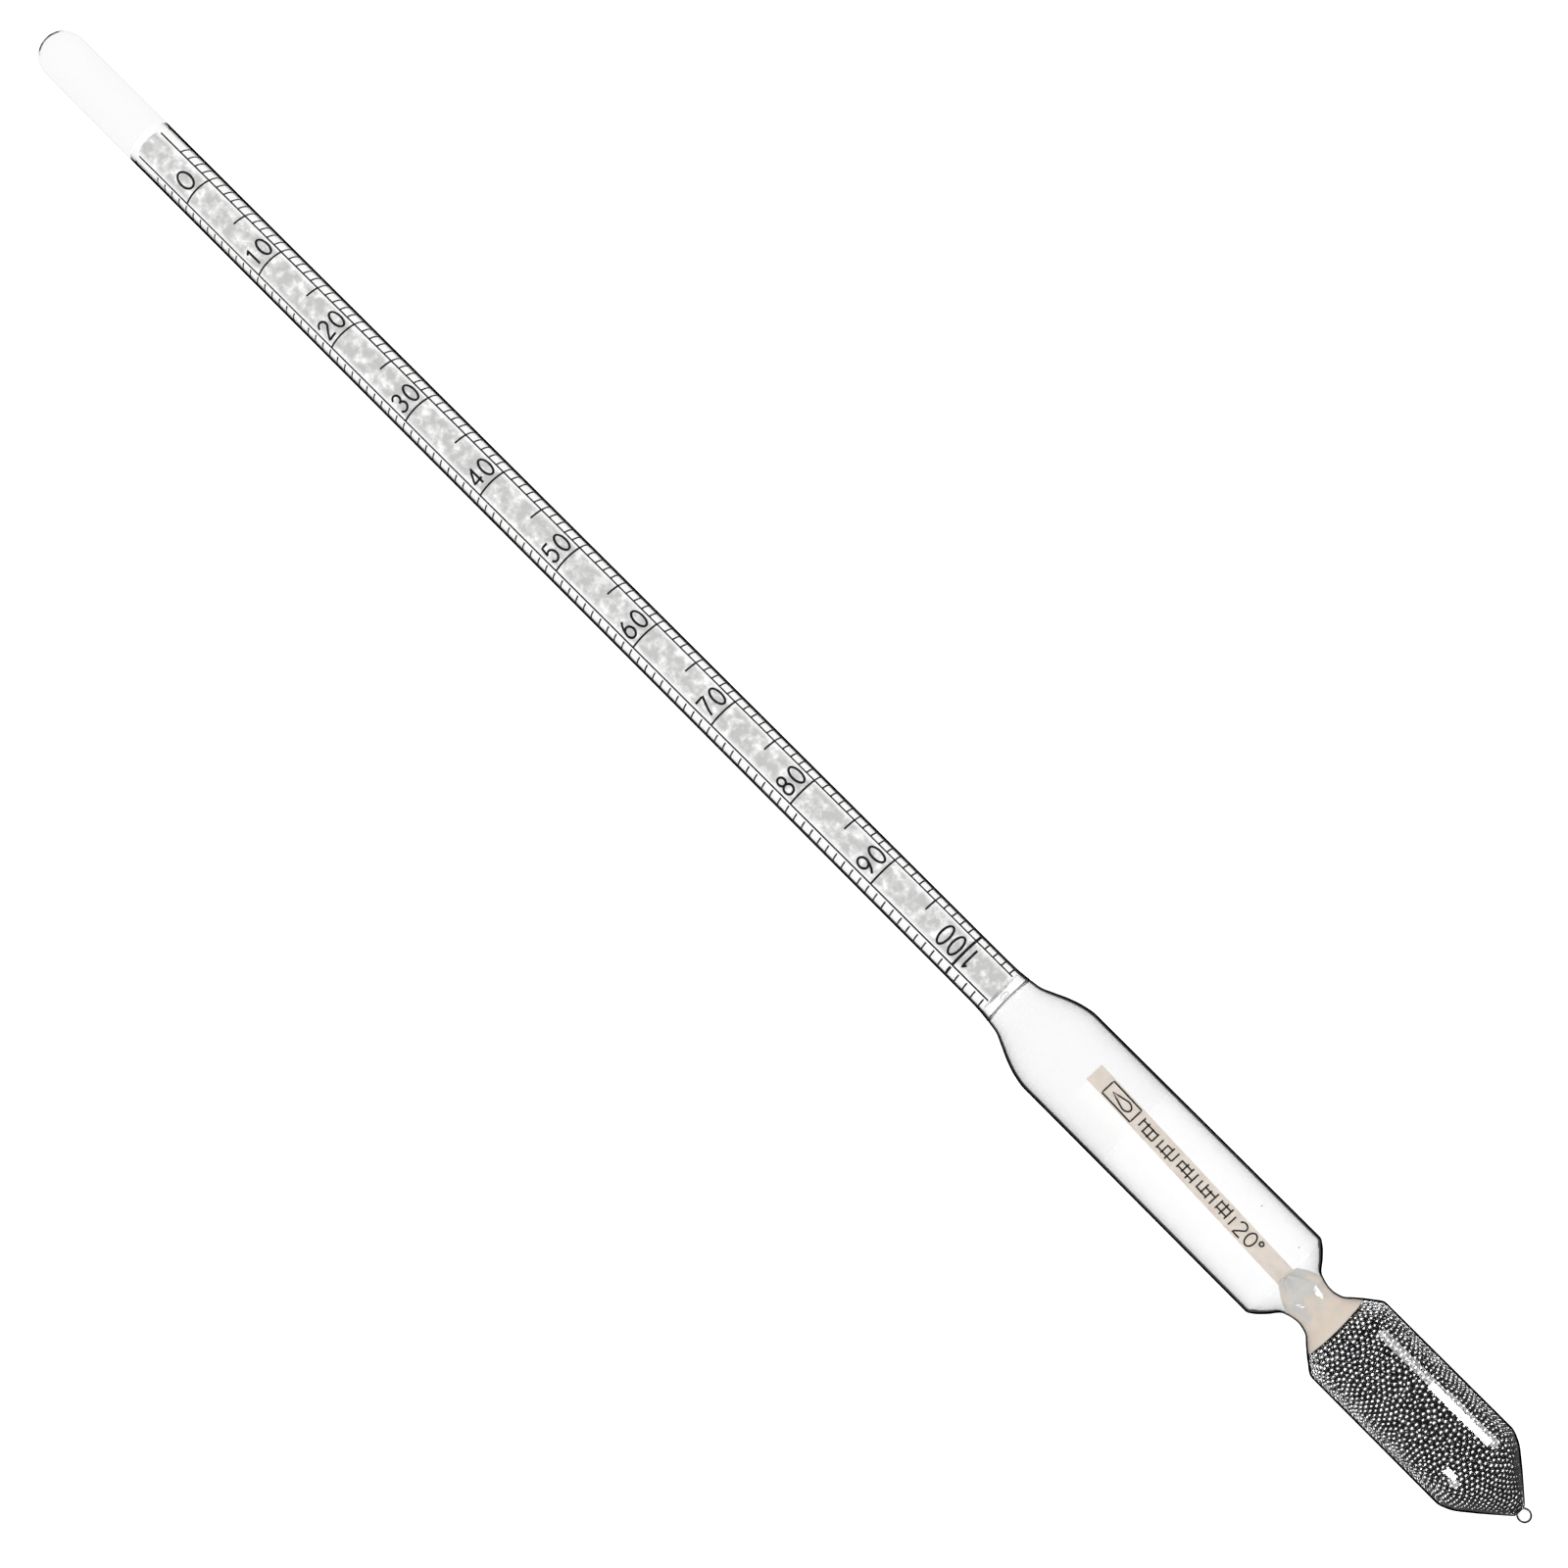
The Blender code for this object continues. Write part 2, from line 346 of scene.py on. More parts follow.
def blend_colors(tree, factor, first, second, blend_type="MIX"):
    """Two colours mixed by a factor, or blended in another way."""
    made = node(tree, "ShaderNodeMix", data_type="RGBA", blend_type=blend_type)
    feed(tree, factor, made.inputs[0])
    feed(tree, first, made.inputs[6])
    feed(tree, second, made.inputs[7])
    return made.outputs[2]


def mix_shaders(tree, factor, first, second):
    """Shows the first shader where the factor is 0 and the second where it is 1."""
    made = node(tree, "ShaderNodeMixShader")
    tree.links.new(factor, made.inputs["Fac"])
    tree.links.new(first.outputs["BSDF"], made.inputs[1])
    tree.links.new(second.outputs["BSDF"], made.inputs[2])
    tree.links.new(made.outputs["Shader"], tree.nodes["Material Output"].inputs["Surface"])


def mirrored_ray(tree):
    """1 for a ray that has just been mirrored, 0 for any other, such as one that went through glass."""
    path = node(tree, "ShaderNodeLightPath")
    mirrored = node(tree, "ShaderNodeMath", operation="SUBTRACT", use_clamp=True)
    tree.links.new(path.outputs["Is Glossy Ray"], mirrored.inputs[0])
    tree.links.new(path.outputs["Is Transmission Ray"], mirrored.inputs[1])
    return mirrored.outputs[0]


def height_of(tree):
    """The height above the tip in millimetres, for procedural shading."""
    place = node(tree, "ShaderNodeNewGeometry")
    split = node(tree, "ShaderNodeSeparateXYZ")
    tree.links.new(place.outputs["Position"], split.inputs[0])
    return calculate(tree, "MULTIPLY_ADD", split.outputs["Z"], 1 / MM, -TIP_Z / MM)


def noise(tree, scale, detail=3.0, roughness=0.55):
    """Noise in object space; scale is in features per metre."""
    where = node(tree, "ShaderNodeTexCoord")
    made = node(tree, "ShaderNodeTexNoise", Scale=scale, Detail=detail, Roughness=roughness)
    tree.links.new(where.outputs["Object"], made.inputs["Vector"])
    return made.outputs["Fac"]


def bump(tree, shader, source, strength, distance):
    """Makes the shader's surface uneven by a height from a socket."""
    made = node(tree, "ShaderNodeBump", Strength=strength, Distance=distance)
    tree.links.new(source, made.inputs["Height"])
    tree.links.new(made.outputs["Normal"], shader.inputs["Normal"])


def fused_lines(tree, color):
    """Painted shade: darkens a thin ring where the stem and the float were fused together, in place of the
    refraction at the fused ridge.
    """
    place = share(tree, height_of(tree), SEAM_HEIGHT - 0.5, SEAM_HEIGHT + 0.5)
    stops = [(0.0, 1.0), (0.42, 1.0), (0.46, 0.3), (0.54, 0.3), (0.58, 1.0)]
    ring = ramp(tree, [(at, (value,) * 3) for at, value in stops], place)
    return blend_colors(tree, 1.0, color, ring, "MULTIPLY")


def broken_tip(tree, color):
    """Painted shade: darkens the rim of the closed stem's very end where it is seen edge on, unevenly."""
    facing = node(tree, "ShaderNodeLayerWeight", Blend=0.5)
    rim = share(tree, facing.outputs["Facing"], 0.6, 0.68)
    torn = calculate(tree, "MULTIPLY_ADD", noise(tree, 1500.0, 2.0), 3.0, height_of(tree))
    high = share(tree, torn, OVERALL + 0.75, OVERALL + 1.05)
    where = calculate(tree, "MULTIPLY", rim, high)
    return blend_colors(tree, where, color, (0.05, 0.05, 0.05, 1.0))


def glass_material(name, rim_shade_stops, ior=1.47, extra_shade=fused_lines):
    """Clear glass whose colour darkens at its thin rims where the wall is seen edge on: painted shade.

    It lets shadow rays, scattered rays and mirrored rays straight through, so that the pieces
    inside are lit and the glass shows no white veil of its own far wall.
    """
    mat, tree, shader = new_material(name)
    tree.nodes.remove(shader)
    shader = node(tree, "ShaderNodeBsdfGlass", Roughness=0.0, IOR=ior)
    facing = node(tree, "ShaderNodeLayerWeight", Blend=0.5)
    stops = [(place, (value,) * 3) for place, value in rim_shade_stops]
    # Painted shade: the glass colour falls to dark towards edge-on rims, in place of the dark outline that
    # refraction gives there.
    edge = ramp(tree, stops, facing.outputs["Facing"])
    tree.links.new(extra_shade(tree, edge), shader.inputs["Color"])
    bump(tree, shader, noise(tree, 260.0, 2.0), 0.05, 0.0002)
    clear = node(tree, "ShaderNodeBsdfTransparent")
    clear.inputs["Color"].default_value = (0.97, 0.97, 0.97, 1.0)
    path = node(tree, "ShaderNodeLightPath")
    scattered = calculate(tree, "MAXIMUM", path.outputs["Is Shadow Ray"], path.outputs["Is Diffuse Ray"])
    mix_shaders(tree, calculate(tree, "MAXIMUM", scattered, mirrored_ray(tree)), shader, clear)
    return mat


def paper_material(name, stops, fibre=900.0, bump_strength=0.25):
    """Matt uncoated paper, faintly mottled, with a fibrous surface."""
    mat, tree, shader = new_material(name)
    shader.inputs["Roughness"].default_value = 0.85
    shader.inputs["Specular IOR Level"].default_value = 0.25
    mottle = noise(tree, fibre, 4.0, 0.6)
    tree.links.new(ramp(tree, stops, mottle), shader.inputs["Base Color"])
    bump(tree, shader, noise(tree, fibre * 6, 2.0), bump_strength, 0.00004)
    return mat


def ink_material(name, color):
    """Flat printing ink, a little uneven."""
    mat, tree, shader = new_material(name)
    shader.inputs["Roughness"].default_value = 0.8
    shader.inputs["Specular IOR Level"].default_value = 0.05
    dark = tuple(c * 0.6 for c in color)
    tree.links.new(ramp(tree, [(0.35, dark), (0.7, color)], noise(tree, 4000.0)),
                   shader.inputs["Base Color"])
    return mat


def plug_material():
    """Waxy resin: grey and cloudy on top, cream lower down."""
    mat, tree, shader = new_material("plug_resin")
    shader.inputs["Roughness"].default_value = 0.45
    shader.inputs["Transmission Weight"].default_value = 0.0
    shader.inputs["Subsurface Weight"].default_value = 0.35
    shader.inputs["Subsurface Scale"].default_value = 0.0015
    shader.inputs["Subsurface Radius"].default_value = (1.0, 0.85, 0.65)
    cloud = noise(tree, 420.0, 3.0)
    rise = calculate(tree, "MULTIPLY_ADD", height_of(tree), -PLUG_CLOUD_GAIN,
                     PLUG_CLOUD_GAIN * PLUG_CLOUDY_FROM)
    stops = [(0.38, (0.58, 0.575, 0.555)), (0.5, (0.69, 0.62, 0.545)), (0.62, (0.75, 0.65, 0.555))]
    tree.links.new(ramp(tree, stops, calculate(tree, "ADD", rise, cloud)), shader.inputs["Base Color"])
    bump(tree, shader, noise(tree, 1500.0, 4.0), 0.5, 0.0002)
    return mat


def shot_material():
    """Dark rolled metal shot; each pellet has its own shade and gloss."""
    mat, tree, shader = new_material("shot_metal")
    shader.inputs["Metallic"].default_value = 1.0
    where = node(tree, "ShaderNodeNewGeometry")
    each = where.outputs["Random Per Island"]
    tree.links.new(ramp(tree, [(0.0, (0.09, 0.09, 0.092)), (0.5, (0.13, 0.13, 0.132)),
                               (1.0, (0.2, 0.2, 0.203))], each), shader.inputs["Base Color"])
    tree.links.new(ramp(tree, [(0.0, (0.16,) * 3), (1.0, (0.3,) * 3)], each),
                   shader.inputs["Roughness"])
    bump(tree, shader, noise(tree, 5000.0, 2.0), 0.2, 0.00003)
    return mat


def dark_material():
    """Painted shade: a near-black stand-in for the unlit pellets inside the shot bed."""
    mat, tree, shader = new_material("shot_core")
    shader.inputs["Roughness"].default_value = 0.9
    tree.links.new(ramp(tree, [(0.3, (0.004,) * 3), (0.7, (0.012,) * 3)], noise(tree, 2500.0)),
                   shader.inputs["Base Color"])
    return mat


# Glass --------------------------------------------------------------------------------------

def make_stem(material):
    """The tube with its dome and its flare, one closed wall."""
    base = OVERALL - DOME_RISE
    outside = [*dome(STEM_RADIUS, base, DOME_RISE), *steady_curve(STEM_FLARE)[:-1],
               (SEAM_RADIUS + 0.02, SEAM_HEIGHT + SEAM_GAP + 0.12),
               (SEAM_RADIUS - 0.02, SEAM_HEIGHT + SEAM_GAP / 2)]
    inner = STEM_RADIUS - STEM_WALL
    inside = [*dome(inner, base, DOME_RISE - DOME_WALL),
              *[(r - STEM_WALL, h) for r, h in steady_curve(STEM_FLARE)[:-1]],
              (SEAM_RADIUS - STEM_WALL + 0.03, SEAM_HEIGHT + SEAM_GAP / 2)]
    return turned("stem_glass", [*outside, *reversed(inside)], material)


def clear_top(obj, outer, inner):
    """Gives the stem above the scale its own two materials, from a clean ring of edges."""
    bm = bmesh.new()
    bm.from_mesh(obj.data)
    bmesh.ops.bisect_plane(bm, geom=[*bm.verts, *bm.edges, *bm.faces], dist=1e-7,
                           plane_co=(0.0, 0.0, TIP_Z + CLEAR_FROM * MM), plane_no=(0.0, 0.0, 1.0))
    bm.to_mesh(obj.data)
    bm.free()
    obj.data.materials.append(outer)
    obj.data.materials.append(inner)
    for face in obj.data.polygons:
        if (face.center.z - TIP_Z) / MM > CLEAR_FROM:
            outward = face.normal.dot(Vector((face.center.x, face.center.y, 0.0))) > 0
            face.material_index = 1 if outward else 2


def bulb_outline():
    """The outer side of both bulbs, from the seam down to the open end of the cone."""
    return steady_curve([*FLOAT_OUTLINE, *BALLAST_OUTLINE])


def make_bulbs(material):
    """The float and the ballast bulb, one wall that runs on through the waist."""
    outside = bulb_outline()
    inside = inset(outside, BULB_WALL)
    top = SEAM_HEIGHT - SEAM_GAP / 2
    outside[0] = (SEAM_RADIUS - 0.02, top)
    inside[0] = (SEAM_RADIUS - BULB_WALL + 0.02, top)
    inside[-1] = (CONE_END[0] - BULB_WALL, CONE_END[1])
    return turned("bulb_glass", [*outside, *reversed(inside)], material)


def make_bead(material):
    """The fused ball at the point, with a short shank that fills the cone's open end."""
    shank = CONE_END[0] - BULB_WALL - 0.03
    neck_angle = math.asin(0.72)
    steps = 20
    ball = []
    for i in range(steps + 1):
        a = neck_angle + (math.pi - neck_angle) * i / steps
        ball.append((BEAD_RADIUS * math.sin(a), BEAD_RADIUS * (1 + math.cos(a))))
    ball[-1] = (0.0, 0.0)
    outline = [(0.0, 2.35), (shank * 0.6, 2.3), (shank, 2.05), (shank, 1.72), *ball]
    return turned("tip_bead_glass", outline, material, segments=64)


# Each list of stops is painted shade: how far a glass's colour darkens towards rims seen edge on.
stem_glass = glass_material("stem_glass", [
    (0.0, 0.96), (0.53, 0.96), (0.555, 0.5), (0.575, 0.5), (0.6, 0.95), (0.635, 0.9), (0.68, 0.005)])
# Painted shade: the stem above the scale neither bends nor mirrors light (IOR 1.0); its grey tone and
# darker edge-on rims stand in for that refraction and reflection.
stem_top_glass = glass_material("stem_top_glass", [(0.0, 0.835), (0.75, 0.82), (0.92, 0.66)],
                                ior=1.0, extra_shade=broken_tip)
stem_top_inner = glass_material("stem_top_inner", [(0.0, 1.0), (1.0, 1.0)], ior=1.0)
bulb_glass = glass_material("bulb_glass", [(0.0, 0.94), (0.7, 0.93), (0.75, 0.005)])
glass_bead = glass_material("bead_glass", [(0.0, 1.0), (0.3, 0.9), (0.4, 0.004)])
stem = make_stem(stem_glass)
clear_top(stem, stem_top_glass, stem_top_inner)
bulbs = make_bulbs(bulb_glass)
bead = make_bead(glass_bead)
for piece, nodes in ((stem, ("stem_tube",)), (bulbs, ("float_bulb", "ballast_bulb")),
                     (bead, ("tip_bead",))):
    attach(piece, "root")
    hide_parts(*nodes)


def make_specks():
    """Dark seeds in the middle of the float's wall."""
    mat, tree, shader = new_material("glass_seed")
    shader.inputs["Roughness"].default_value = 0.3
    tree.links.new(ramp(tree, [(0.3, (0.02,) * 3), (0.7, (0.05,) * 3)], noise(tree, 8000.0)),
                   shader.inputs["Base Color"])
    bm = bmesh.new()
    middle = BULB_RADIUS - BULB_WALL / 2
    for x, height in SEED_PLACES:
        place = Vector((x, -math.sqrt(middle ** 2 - x ** 2), height)) * MM
        place.z += TIP_Z
        bmesh.ops.create_icosphere(bm, subdivisions=2, radius=SEED_RADIUS * MM,
                                   matrix=Matrix.Translation(place))
    return from_bmesh("glass_seeds", bm, mat)


seeds = make_specks()
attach(seeds, "root")


# The paper scale ----------------------------------------------------------------------------

def twist_at(height):
    """How far the printed columns have turned round the stem at a height."""
    return (TWIST_CENTRE_HEIGHT - height) * TWIST_PER_MM


def on_stem(angle, height, radius):
    """A point on the rolled paper: angle in degrees from the reader's side towards +X."""
    a = math.radians(angle)
    return (radius * math.sin(a), -radius * math.cos(a), height)


def make_paper(material):
    """The rolled sheet, open along a slit in one of its blank stripes."""
    columns, rows = 120, 40
    start = SLIT_ANGLE + SLIT_WIDTH / 2
    sweep = 360.0 - SLIT_WIDTH
    verts, faces = [], []
    for radius in (PAPER_RADIUS, PAPER_RADIUS - PAPER_THICKNESS):
        for j in range(rows + 1):
            height = PAPER_BOTTOM + (PAPER_TOP - PAPER_BOTTOM) * j / rows
            for i in range(columns + 1):
                verts.append(on_stem(start + sweep * i / columns, height, radius))
    width = columns + 1
    inner = width * (rows + 1)
    for j in range(rows):
        for i in range(columns):
            a = j * width + i
            faces.append((a, a + 1, a + 1 + width, a + width))
            b = a + inner
            faces.append((b, b + width, b + 1 + width, b + 1))
    for i in range(columns):
        a, b = i, rows * width + i
        faces.append((a, a + inner, a + 1 + inner, a + 1))
        faces.append((b, b + 1, b + 1 + inner, b + inner))
    for j in range(rows):
        a, b = j * width, j * width + columns
        faces.append((a, a + width, a + width + inner, a + inner))
        faces.append((b, b + inner, b + width + inner, b + width))
    return add_piece("scale_paper_sheet", verts, faces, material, smooth=False)


class Ink:
    """Printed strokes as thin closed slabs, laid on a surface given by place(x, y, lift)."""

    def __init__(self, place):
        self.place = place
        self.verts = []
        self.faces = []

    def stroke(self, points, width, closed=False):
        """A line of constant width through flat (x, y) points, cut short enough to follow the surface."""
        fine = []
        for i, (x, y) in enumerate(points):
            fine.append((x, y))
            if i + 1 < len(points) or closed:
                x1, y1 = points[(i + 1) % len(points)]
                parts = math.ceil(abs(x1 - x) / LONGEST_STROKE)
                fine += [(x + (x1 - x) * k / parts, y + (y1 - y) * k / parts)
                         for k in range(1, parts)]
        points = fine
        count = len(points)
        base = len(self.verts)
        for i, (x, y) in enumerate(points):
            if closed:
                (x0, y0), (x1, y1) = points[i - 1], points[(i + 1) % count]
            else:
                (x0, y0), (x1, y1) = points[max(i - 1, 0)], points[min(i + 1, count - 1)]
            length = math.hypot(x1 - x0, y1 - y0)
            nx, ny = -(y1 - y0) / length * width / 2, (x1 - x0) / length * width / 2
            for lift in (INK_LIFT, -INK_SINK):
                self.verts.append(self.place(x + nx, y + ny, lift))
                self.verts.append(self.place(x - nx, y - ny, lift))
        links = [(i, i + 1) for i in range(count - 1)]
        if closed:
            links.append((count - 1, 0))
        for i, j in links:
            a, b = base + 4 * i, base + 4 * j
            self.faces += [(a, a + 1, b + 1, b), (a + 2, b + 2, b + 3, a + 3),
                           (a, b, b + 2, a + 2), (a + 1, a + 3, b + 3, b + 1)]
        if not closed:
            a, b = base, base + 4 * (count - 1)
            self.faces += [(a, a + 2, a + 3, a + 1), (b, b + 1, b + 3, b + 2)]

    def line(self, x0, y0, x1, y1, width, pieces=1):
        """A straight line in equal pieces."""
        points = []
        for i in range(pieces + 1):
            t = i / pieces
            points.append((x0 + (x1 - x0) * t, y0 + (y1 - y0) * t))
        self.stroke(points, width)


def scale_surface(x, y, lift):
    """x is millimetres round the stem from a column's middle, y the height above the tip."""
    return on_stem(math.degrees(x / PAPER_RADIUS) + twist_at(y), y, PAPER_RADIUS + lift)


def arc_mm(degrees):
    """Degrees round the paper as millimetres along it."""
    return math.radians(degrees) * PAPER_RADIUS


def height_of_mark(value):
    """The height of a scale value's line."""
    return ZERO_LINE - UNIT * value


def make_ruling(material):
    """Each column's two long lines, its cross lines, and the ladder of rungs to its right."""
    ink = Ink(scale_surface)
    for column, ladder in zip(COLUMNS, LADDER_ENDS):
        middle = arc_mm(column)
        left, right = middle - arc_mm(COLUMN_HALF), middle + arc_mm(COLUMN_HALF)
        ladder_end = middle + arc_mm(ladder)
        for x in (left, right):
            ink.line(x, PAPER_TOP - 0.4, x, PAPER_BOTTOM + 0.1, LONG_LINE, pieces=120)
        for value in range(FIRST_RUNG, LAST_RUNG + 1):
            y = height_of_mark(value)
            heavy = value == 100
            ink.line(right, y, ladder_end, y, HUNDRED_LINE if heavy else RUNG_LINE, pieces=18)
            if value % 10 == 0 and 0 <= value <= 100:
                ink.line(left, y, right, y, HUNDRED_LINE if heavy else MAJOR_LINE, pieces=22)
            elif value % 5 == 0 and 0 < value < 100:
                ink.line(right - arc_mm(HALF_MARK_SPAN), y, right, y, MAJOR_LINE, pieces=9)
    return add_piece("scale_ruling", ink.verts, ink.faces, material, smooth=False)


def arc(cx, cy, rx, ry, start, end, steps=18):
    """Points of an elliptic arc, angles in degrees, in a digit's unit box."""
    points = []
    for i in range(steps + 1):
        a = math.radians(start + (end - start) * i / steps)
        points.append((cx + rx * math.cos(a), cy + ry * math.sin(a)))
    return points


def digit_paths(digit):
    """Single-line drawings of the digits, in a box 1 wide and 1 high: (points, closed)."""
    if digit == 0:
        return [(arc(0.5, 0.5, 0.44, 0.5, 90, 450, 36)[:-1], True)]
    if digit == 1:
        return [([(0.3, 0.8), (0.58, 1.0), (0.58, 0.5), (0.58, 0.0)], False)]
    if digit == 2:
        return [([*arc(0.5, 0.72, 0.42, 0.28, 165, -25, 20), (0.48, 0.32), (0.08, 0.0),
                  (0.5, 0.0), (0.95, 0.0)], False)]
    if digit == 3:
        return [([*arc(0.48, 0.76, 0.36, 0.24, 160, -90, 18), *arc(0.48, 0.27, 0.43, 0.27, 90, -160, 20)],
                 False)]
    if digit == 4:
        return [([(0.74, 0.0), (0.74, 0.5), (0.74, 1.0), (0.4, 0.62), (0.05, 0.26), (0.5, 0.26),
                  (1.0, 0.26)], False)]
    if digit == 5:
        return [([(0.86, 1.0), (0.5, 1.0), (0.22, 1.0), (0.17, 0.76), (0.13, 0.52),
                  *arc(0.47, 0.33, 0.42, 0.33, 135, -155, 22)], False)]
    if digit == 6:
        return [([*arc(0.5, 0.31, 0.42, 0.31, 155, 515, 32)], False),
                ([(0.12, 0.44), (0.2, 0.62), (0.36, 0.83), (0.6, 1.0)], False)]
    if digit == 7:
        return [([(0.06, 1.0), (0.5, 1.0), (0.94, 1.0), (0.68, 0.62), (0.48, 0.3), (0.38, 0.0)], False)]
    if digit == 8:
        return [(arc(0.5, 0.765, 0.34, 0.235, 90, 450, 28)[:-1], True),
                (arc(0.5, 0.265, 0.43, 0.265, 90, 450, 32)[:-1], True)]
    return [([*arc(0.5, 0.69, 0.42, 0.31, -25, 335, 32)], False),
            ([(0.88, 0.56), (0.8, 0.38), (0.64, 0.17), (0.4, 0.0)], False)]


def write_number(ink, text, x, y, height, width, pitch=0.0, turned_up=False):
    """A number centred on x with its feet on y, or, turned up, reading towards the top."""
    span = pitch * (len(text) - 1) + width
    for i, character in enumerate(text):
        for points, closed in digit_paths(int(character)):
            placed = []
            for px, py in points:
                along, up = i * pitch + px * width - span / 2, py * height
                placed.append((x - up + height / 2, y + along) if turned_up else (x + along, y + up))
            ink.stroke(placed, DIGIT_STROKE, closed)


def make_numerals(material):
    """0 to 100 by tens; the 100 stands on end, with its line between the 1 and the 00."""
    ink = Ink(scale_surface)
    for column in COLUMNS:
        middle = arc_mm(column)
        write_number(ink, "0", middle, height_of_mark(0) + ZERO_LIFT, height=2.85, width=2.0)
        for value in range(10, 100, 10):
            write_number(ink, str(value), middle, height_of_mark(value) + DIGIT_LIFT,
                         DIGIT_HEIGHT, DIGIT_WIDTH, DIGIT_PITCH)
        aside, mark = middle - HUNDRED_ASIDE, height_of_mark(100)
        write_number(ink, "1", aside, mark - 1.15, HUNDRED_HEIGHT, width=1.4, turned_up=True)
        write_number(ink, "00", aside, mark + 2.3, HUNDRED_HEIGHT, width=1.5, pitch=2.0, turned_up=True)
    return add_piece("scale_numerals", ink.verts, ink.faces, material, smooth=False)


def scale_material():
    """White paper with a pale grey mottled field between the long lines of each column."""
    mat, tree, shader = new_material("scale_paper")
    shader.inputs["Roughness"].default_value = 0.85
    shader.inputs["Specular IOR Level"].default_value = 0.2
    where = node(tree, "ShaderNodeTexCoord")
    split = node(tree, "ShaderNodeSeparateXYZ")
    tree.links.new(where.outputs["Object"], split.inputs[0])
    reader_side = calculate(tree, "MULTIPLY", split.outputs["Y"], -1.0)
    angle = calculate(tree, "ARCTAN2", split.outputs["X"], reader_side)
    turn = math.radians(TWIST_PER_MM)
    twist = calculate(tree, "MULTIPLY_ADD", height_of(tree), turn, -turn * TWIST_CENTRE_HEIGHT)
    from_middle = calculate(tree, "ADD", angle, twist)
    both_columns = calculate(tree, "COSINE", calculate(tree, "MULTIPLY", from_middle, 2.0))
    inside = share(tree, both_columns, math.cos(math.radians(2 * FIELD_END)),
                   math.cos(math.radians(2 * FIELD_SOLID)))
    mottle = share(tree, noise(tree, 620.0, 4.0, 0.6), 0.34, 0.56)
    field = calculate(tree, "MULTIPLY", inside, mottle)
    stops = [(0.0, (0.93, 0.93, 0.925)), (0.5, (0.68, 0.68, 0.675)), (1.0, (0.52, 0.52, 0.515))]
    tree.links.new(ramp(tree, stops, field), shader.inputs["Base Color"])
    bump(tree, shader, noise(tree, 5000.0, 2.0), 0.2, 0.00004)
    return mat


scale_paper = make_paper(scale_material())
black_ink = ink_material("black_ink", (0.012, 0.012, 0.014))
ruling = make_ruling(black_ink)
numerals = make_numerals(black_ink)
for piece in (scale_paper, ruling, numerals):
    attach(piece, "root")
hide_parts("scale_paper")


# The label strip ----------------------------------------------------------------------------

def on_strip(x, y, lift):
    """A point on the strip's front: x across it, y up it from its foot."""
    lean = math.radians(STRIP_LEAN)
    return (STRIP_FOOT + x * math.cos(lean) + y * math.sin(lean),
            -STRIP_THICKNESS / 2 - lift,
            STRIP_BOTTOM + y * math.cos(lean) - x * math.sin(lean))


def make_strip(material):
    """A strip of card with softly rounded long edges."""
    length = STRIP_TOP - STRIP_BOTTOM
    rows, columns = 60, 10
    verts, faces = [], []
    for side in (0.0, 1.0):
        for j in range(rows + 1):
            y = length * j / rows
            for i in range(columns + 1):
                x = STRIP_WIDTH * (i / columns - 0.5)
                edge = max(0.0, abs(x) / (STRIP_WIDTH / 2) - 0.86) / 0.14
                pull = 0.045 * edge * edge
                lift = -pull if side == 0 else -STRIP_THICKNESS + pull
                verts.append(on_strip(x, y, lift))
    width = columns + 1
    back = width * (rows + 1)
    for j in range(rows):
        for i in range(columns):
            a = j * width + i
            faces.append((a, a + 1, a + 1 + width, a + width))
            faces.append((a + back, a + width + back, a + 1 + width + back, a + 1 + back))
    for i in range(columns):
        a, b = i, rows * width + i
        faces.append((a, a + back, a + 1 + back, a + 1))
        faces.append((b, b + 1, b + 1 + back, b + back))
    for j in range(rows):
        a, b = j * width, j * width + columns
        faces.append((a, a + width, a + width + back, a + back))
        faces.append((b, b + back, b + width + back, b + width))
    return add_piece("label_strip_card", verts, faces, material, smooth=False)


def make_strip_marks(material):
    """Generic print: a plain box with a drop in it, blocks of short bars, and 20 degrees."""
    ink = Ink(on_strip)
    half, line = 1.05, STRIP_STROKE
    low, high = 30.6, 35.7
    ink.stroke([(-half, low), (half, low), (half, high), (-half, high)], line, True)
    drop = arc(0.0, low + 1.8, 0.6, 0.85, 150, 390, 20)
    ink.stroke([*drop, (0.0, high - 0.9)], line, True)
    draw = random.Random(7)
    cell, pitch = 2.6, 3.5
    for block in range(5):
        base = 26.95 - block * pitch
        for row in range(4):
            y = base + cell * row / 3
            ink.line(-half * draw.uniform(0.5, 1.0), y, half * draw.uniform(0.5, 1.0), y, line)
        for x in (draw.uniform(-0.7, -0.2), draw.uniform(0.2, 0.7)):
            start = base + cell * draw.choice((0, 1)) / 3
            ink.line(x, start, x, base + cell * draw.choice((2, 3)) / 3, line)
    tall, wide = 1.9, 1.45
    for digit, start in ((2, 12.2), (0, 10.4)):
        for points, closed in digit_paths(digit):
            turned_left = [(py * tall - tall / 2, start - px * wide) for px, py in points]
            ink.stroke(turned_left, line, closed)
    ink.stroke(arc(0.62, 8.35, 0.28, 0.28, 0, 360, 14)[:-1], line, True)
    return add_piece("label_strip_marks", ink.verts, ink.faces, material, smooth=False)


strip = make_strip(paper_material(
    "label_paper", [(0.3, (0.63, 0.56, 0.485)), (0.5, (0.7, 0.63, 0.565)), (0.7, (0.75, 0.685, 0.62))]))
marks = make_strip_marks(ink_material("label_ink", (0.03, 0.025, 0.022)))
for piece in (strip, marks):
    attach(piece, "root")
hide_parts("label_strip")


# The plug and the glue ----------------------------------------------------------------------

